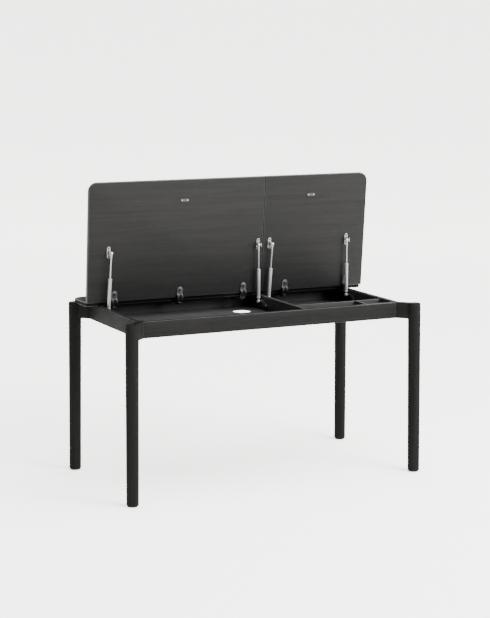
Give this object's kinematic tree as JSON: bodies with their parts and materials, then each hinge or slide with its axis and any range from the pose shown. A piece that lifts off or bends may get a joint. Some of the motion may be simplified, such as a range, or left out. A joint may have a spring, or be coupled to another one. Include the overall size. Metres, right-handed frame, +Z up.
{
  "type": "lift-top writing desk",
  "caption": "Black-stained desk on round legs, its top split into a fixed rear strip and lids held open on gas struts over shallow divided storage bays.",
  "frame": {"origin": "on the floor, in the middle of the four feet", "axes": "+X along the desk to the user's right, +Y to the back, +Z up"},
  "size_m": [1.3684, 0.7124, 1.2689],
  "materials": {
    "black_stained_wood": "satin black stain with the grain just showing",
    "black_panel": "matt black coated board",
    "zinc_plated_steel": "dull zinc plating",
    "strut_grey": "satin silver-grey",
    "dark_steel": "dark plated steel",
    "black_plastic": "moulded, matt"
  },
  "bodies": {
    "frame": {"leg_front_left": "black_stained_wood", "neck_front_left": "black_stained_wood", "leg_bolt_front_left": "dark_steel", "foot_glide_front_left": "black_plastic", "leg_front_right": "black_stained_wood", "neck_front_right": "black_stained_wood", "leg_bolt_front_right": "dark_steel", "foot_glide_front_right": "black_plastic", "leg_rear_left": "black_stained_wood", "neck_rear_left": "black_stained_wood", "leg_bolt_rear_left": "dark_steel", "foot_glide_rear_left": "black_plastic", "leg_rear_right": "black_stained_wood", "neck_rear_right": "black_stained_wood", "leg_bolt_rear_right": "dark_steel", "foot_glide_rear_right": "black_plastic", "front_rail": "black_stained_wood", "rear_rail": "black_stained_wood", "left_rail": "black_stained_wood", "right_rail": "black_stained_wood", "left_bay_bottom": "black_panel", "right_bay_bottom": "black_panel", "bay_partition": "black_stained_wood", "pen_tray_divider": "black_stained_wood", "small_tray_divider": "black_stained_wood", "rear_top_strip": "black_stained_wood", "left_outer_strut_frame_bracket": "zinc_plated_steel", "left_inner_strut_frame_bracket": "zinc_plated_steel", "right_inner_strut_frame_bracket": "zinc_plated_steel", "right_outer_strut_frame_bracket": "zinc_plated_steel", "left_hinge_arm_1": "dark_steel", "left_hinge_arm_2": "dark_steel", "left_hinge_arm_3": "dark_steel", "right_hinge_arm_1": "dark_steel", "right_hinge_arm_2": "dark_steel", "left_latch_body": "black_plastic", "right_latch_body": "black_plastic"},
    "left_flap": {"left_lid": "black_stained_wood", "left_hinge_leaf_1": "dark_steel", "left_hinge_leaf_2": "dark_steel", "left_hinge_leaf_3": "dark_steel", "left_outer_strut_lid_bracket": "zinc_plated_steel", "left_inner_strut_lid_bracket": "zinc_plated_steel", "left_strike_plate": "black_plastic"},
    "right_flap": {"right_lid": "black_stained_wood", "right_hinge_leaf_1": "dark_steel", "right_hinge_leaf_2": "dark_steel", "right_outer_strut_lid_bracket": "zinc_plated_steel", "right_inner_strut_lid_bracket": "zinc_plated_steel", "right_strike_plate": "black_plastic"},
    "left_outer_tube": {"left_outer_strut_tube": "strut_grey"},
    "left_outer_rod": {"left_outer_strut_rod": "strut_grey"},
    "left_inner_tube": {"left_inner_strut_tube": "strut_grey"},
    "left_inner_rod": {"left_inner_strut_rod": "strut_grey"},
    "right_inner_tube": {"right_inner_strut_tube": "strut_grey"},
    "right_inner_rod": {"right_inner_strut_rod": "strut_grey"},
    "right_outer_tube": {"right_outer_strut_tube": "strut_grey"},
    "right_outer_rod": {"right_outer_strut_rod": "strut_grey"},
    "left_plunger": {"left_latch_plunger": "zinc_plated_steel"},
    "right_plunger": {"right_latch_plunger": "zinc_plated_steel"}
  },
  "joints": [
    {"name": "left_lid_hinge", "type": "hinge", "parent": "frame", "child": "left_flap", "pos_m": [0, 0.171, 0.758], "axis": [1, 0, 0], "range_deg": [0, 85]},
    {"name": "right_lid_hinge", "type": "hinge", "parent": "frame", "child": "right_flap", "pos_m": [0, 0.171, 0.758], "axis": [1, 0, 0], "range_deg": [0, 85]},
    {"name": "left_outer_strut_pivot", "type": "hinge", "parent": "frame", "child": "left_outer_tube", "pos_m": [-0.573, 0.133, 0.7175], "axis": [1, 0, 0], "range_deg": [0, 85.2]},
    {"name": "left_outer_rod_slide", "type": "slide", "parent": "left_outer_tube", "child": "left_outer_rod", "axis": [0.0357, -0.0717, 0.9968], "range_m": [-0.0752, 0]},
    {"name": "left_inner_strut_pivot", "type": "hinge", "parent": "frame", "child": "left_inner_tube", "pos_m": [0.1335, 0.133, 0.7175], "axis": [1, 0, 0], "range_deg": [0, 85.2]},
    {"name": "left_inner_rod_slide", "type": "slide", "parent": "left_inner_tube", "child": "left_inner_rod", "axis": [-0.0357, -0.0717, 0.9968], "range_m": [-0.0752, 0]},
    {"name": "right_inner_strut_pivot", "type": "hinge", "parent": "frame", "child": "right_inner_tube", "pos_m": [0.1825, 0.133, 0.7175], "axis": [1, 0, 0], "range_deg": [0, 85.2]},
    {"name": "right_inner_rod_slide", "type": "slide", "parent": "right_inner_tube", "child": "right_inner_rod", "axis": [0.0357, -0.0717, 0.9968], "range_m": [-0.0752, 0]},
    {"name": "right_outer_strut_pivot", "type": "hinge", "parent": "frame", "child": "right_outer_tube", "pos_m": [0.573, 0.133, 0.7175], "axis": [1, 0, 0], "range_deg": [0, 85.2]},
    {"name": "right_outer_rod_slide", "type": "slide", "parent": "right_outer_tube", "child": "right_outer_rod", "axis": [-0.0357, -0.0717, 0.9968], "range_m": [-0.0752, 0]},
    {"name": "left_plunger_slide", "type": "slide", "parent": "frame", "child": "left_plunger", "axis": [0, 0, 1], "range_m": [-0.003, 0], "stiffness_N_per_m": 400, "springref_m": 0.001},
    {"name": "right_plunger_slide", "type": "slide", "parent": "frame", "child": "right_plunger", "axis": [0, 0, 1], "range_m": [-0.003, 0], "stiffness_N_per_m": 400, "springref_m": 0.001}
  ],
  "couplings": [
    {"joint": "left_outer_strut_pivot", "follows": "left_lid_hinge", "ratio": 0.99897},
    {"joint": "left_outer_rod_slide", "follows": "left_lid_hinge", "m_per_rad": -0.050535},
    {"joint": "left_inner_strut_pivot", "follows": "left_lid_hinge", "ratio": 0.99897},
    {"joint": "left_inner_rod_slide", "follows": "left_lid_hinge", "m_per_rad": -0.050535},
    {"joint": "right_inner_strut_pivot", "follows": "right_lid_hinge", "ratio": 0.99897},
    {"joint": "right_inner_rod_slide", "follows": "right_lid_hinge", "m_per_rad": -0.050535},
    {"joint": "right_outer_strut_pivot", "follows": "right_lid_hinge", "ratio": 0.99897},
    {"joint": "right_outer_rod_slide", "follows": "right_lid_hinge", "m_per_rad": -0.050535}
  ]
}
